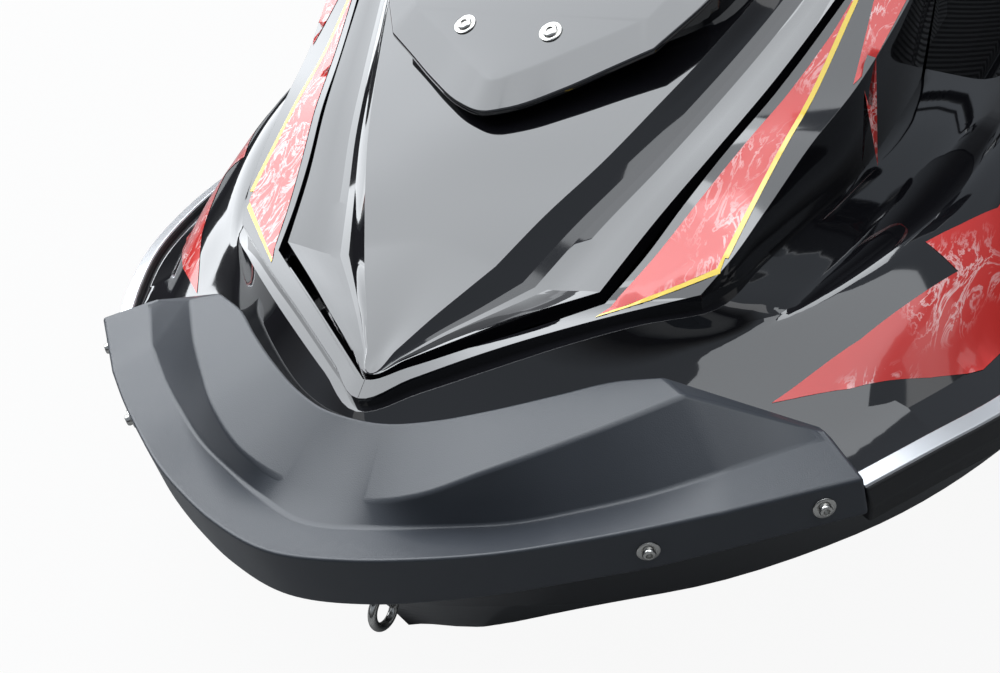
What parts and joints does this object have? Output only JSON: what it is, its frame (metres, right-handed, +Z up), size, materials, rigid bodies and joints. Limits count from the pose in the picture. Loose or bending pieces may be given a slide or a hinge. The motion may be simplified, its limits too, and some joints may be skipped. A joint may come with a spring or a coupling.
{
  "type": "personal watercraft",
  "caption": "Sit-astride water-jet craft with a bow bumper, opening front hood, handlebar steering, swivelling jet nozzle, reverse bucket, seats and a folding boarding step.",
  "frame": {"origin": "on the centre plane at mid-length, at the height of the still waterline", "axes": "+Z up, the bow points to -Y, port is +X"},
  "size_m": [1.2514, 3.276, 1.0948],
  "materials": {
    "gelcoat": "gloss gel coat",
    "bumper": "satin moulded plastic",
    "rail": "satin extrusion",
    "seat_cover": "grained vinyl",
    "foam_mat": "ribbed foam",
    "stainless": "polished",
    "cast_pump": "painted casting",
    "moulded": "textured",
    "rubber": "soft grip",
    "display_glass": "gloss",
    "engine_metal": "cast"
  },
  "bodies": {
    "craft": {"hull": "gelcoat", "deck": "gelcoat", "bow_bumper": "bumper", "bow_eye": "stainless", "stern_eye_port": "stainless", "stern_eye_starboard": "stainless", "rail_port": "rail", "rail_starboard": "rail", "fairing_port": "gelcoat", "fairing_starboard": "gelcoat", "storage_bin": "moulded", "console": "gelcoat", "dash": "moulded", "display": "display_glass", "steering_mount": "moulded", "mirror_port": "gelcoat", "mirror_starboard": "gelcoat", "seat_front": "seat_cover", "seat_rear": "seat_cover", "grab_handle": "stainless", "mat_port": "foam_mat", "mat_starboard": "foam_mat", "mat_stern": "foam_mat", "step_bracket_port": "stainless", "step_bracket_starboard": "stainless", "sponson_port": "moulded", "sponson_starboard": "moulded", "ride_plate": "cast_pump", "intake_grate": "cast_pump", "pump_housing": "cast_pump", "engine": "engine_metal"},
    "hood_lid": {"hood": "gelcoat", "hood_cowl": "gelcoat"},
    "steering_bar": {"handlebar": "stainless", "handlebar_pad": "moulded", "grip_port": "rubber", "grip_starboard": "rubber", "throttle_lever": "moulded", "reverse_lever": "moulded"},
    "nozzle": {"steering_nozzle": "cast_pump"},
    "bucket": {"reverse_bucket": "cast_pump"},
    "impeller": {"impeller": "stainless", "drive_shaft": "stainless"},
    "glovebox": {"glovebox_lid": "moulded"},
    "step": {"boarding_step": "stainless"}
  },
  "joints": [
    {"name": "hood_hinge", "type": "hinge", "parent": "craft", "child": "hood_lid", "pos_m": [0, -1.441, 0.421], "axis": [1, 0, 0], "range_deg": [0, 50]},
    {"name": "steering", "type": "hinge", "parent": "craft", "child": "steering_bar", "pos_m": [0, -0.455, 0.705], "axis": [0, 0.4067, 0.9135], "range_deg": [-24, 24]},
    {"name": "nozzle_steer", "type": "hinge", "parent": "craft", "child": "nozzle", "pos_m": [0, 1.478, -0.14], "axis": [0, 0, 1], "range_deg": [-20, 20]},
    {"name": "bucket_tilt", "type": "hinge", "parent": "nozzle", "child": "bucket", "pos_m": [0, 1.505, -0.14], "axis": [1, 0, 0], "range_deg": [-75, 0]},
    {"name": "impeller_spin", "type": "hinge", "parent": "craft", "child": "impeller", "pos_m": [0, 1.25, -0.14], "axis": [0, 1, 0], "continuous": true},
    {"name": "glovebox_hinge", "type": "hinge", "parent": "craft", "child": "glovebox", "pos_m": [0, -0.31, 0.589], "axis": [1, 0, 0], "range_deg": [0, 60]},
    {"name": "step_fold", "type": "hinge", "parent": "craft", "child": "step", "pos_m": [0, 1.62, -0.078], "axis": [1, 0, 0], "range_deg": [-170, 0]}
  ],
  "couplings": [
    {"joint": "nozzle_steer", "follows": "steering", "ratio": -0.8}
  ]
}
